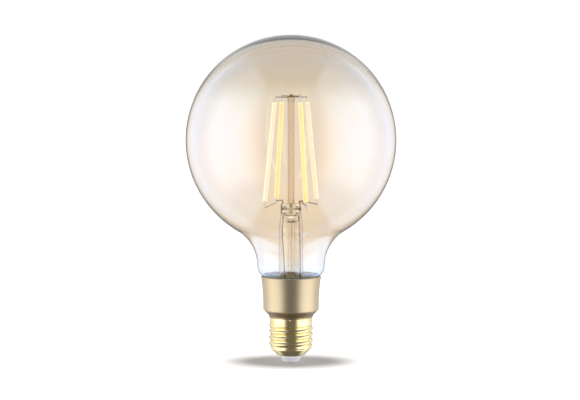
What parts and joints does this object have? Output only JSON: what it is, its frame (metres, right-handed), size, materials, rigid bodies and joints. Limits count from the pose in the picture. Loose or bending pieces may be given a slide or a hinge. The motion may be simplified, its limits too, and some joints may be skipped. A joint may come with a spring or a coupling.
{
  "type": "smart light bulb",
  "caption": "Large round filament light bulb with an amber glass globe, slim LED filaments on a glass stem, a satin driver collar and a brass Edison screw cap.",
  "frame": {"origin": "centre of the tip contact's underside, the lamp's lowest point, on its axis", "axes": "+Z along the lamp's axis from the tip contact to the globe's crown; -Y faces the viewer in the reference view, with the two cool filaments at its far left and far right"},
  "size_m": [0.125, 0.125, 0.195],
  "materials": {
    "amber_glass": "clear, amber coated, fading to clear at the neck",
    "clear_glass": "clear, fire polished",
    "nickel_wire": "dull drawn wire",
    "warm_phosphor": "satin silicone, strong yellow",
    "cool_phosphor": "satin silicone, pale cream",
    "filament_substrate": "matt",
    "led_chip": "polished",
    "champagne_shell": "satin champagne metallic",
    "cement": "matt",
    "brass_shell": "bright, drawn",
    "pale_insulator": "glossy, pale blue-grey",
    "contact_metal": "tinned, lightly worn",
    "green_board": "satin solder mask",
    "black_board": "satin solder mask",
    "black_epoxy": "matt moulded",
    "yellow_film": "glossy box",
    "capacitor_sleeve": "shrunk film",
    "ferrite": "matt",
    "copper_wire": "enamelled copper",
    "resistor_body": "matt lacquer",
    "tinned_steel": "bright tin plate"
  },
  "bodies": {
    "root": {"base_insulator": "pale_insulator", "bridge_rectifier": "black_epoxy", "centre_contact": "contact_metal", "collar_housing": "champagne_shell", "common_jumper_wire": "nickel_wire", "common_lead_wire": "nickel_wire", "contact_wire": "tinned_steel", "cool_bridge_wire": "nickel_wire", "cool_filament_left_chips": "led_chip", "cool_filament_left_coat": "cool_phosphor", "cool_filament_left_lower_pin": "nickel_wire", "cool_filament_left_substrate": "filament_substrate", "cool_filament_left_upper_pin": "nickel_wire", "cool_filament_right_chips": "led_chip", "cool_filament_right_coat": "cool_phosphor", "cool_filament_right_lower_pin": "nickel_wire", "cool_filament_right_substrate": "filament_substrate", "cool_filament_right_upper_pin": "nickel_wire", "cool_lead_wire": "nickel_wire", "dimming_transistors": "black_epoxy", "driver_board": "green_board", "driver_chip": "black_epoxy", "electrolytic_capacitor": "capacitor_sleeve", "exhaust_tube": "clear_glass", "film_capacitor": "yellow_film", "fusible_resistor": "resistor_body", "glass_cement": "cement", "glass_globe": "amber_glass", "inductor_core": "ferrite", "inductor_winding": "copper_wire", "module_pins": "tinned_steel", "screw_shell": "brass_shell", "shell_wire": "tinned_steel", "stem_flare": "clear_glass", "support_rod": "clear_glass", "warm_bridge_wire": "nickel_wire", "warm_filament_left_chips": "led_chip", "warm_filament_left_coat": "warm_phosphor", "warm_filament_left_lower_pin": "nickel_wire", "warm_filament_left_substrate": "filament_substrate", "warm_filament_left_upper_pin": "nickel_wire", "warm_filament_right_chips": "led_chip", "warm_filament_right_coat": "warm_phosphor", "warm_filament_right_lower_pin": "nickel_wire", "warm_filament_right_substrate": "filament_substrate", "warm_filament_right_upper_pin": "nickel_wire", "warm_lead_wire": "nickel_wire", "wifi_antenna": "copper_wire", "wifi_board": "black_board", "wifi_shield": "tinned_steel"}
  },
  "joints": []
}
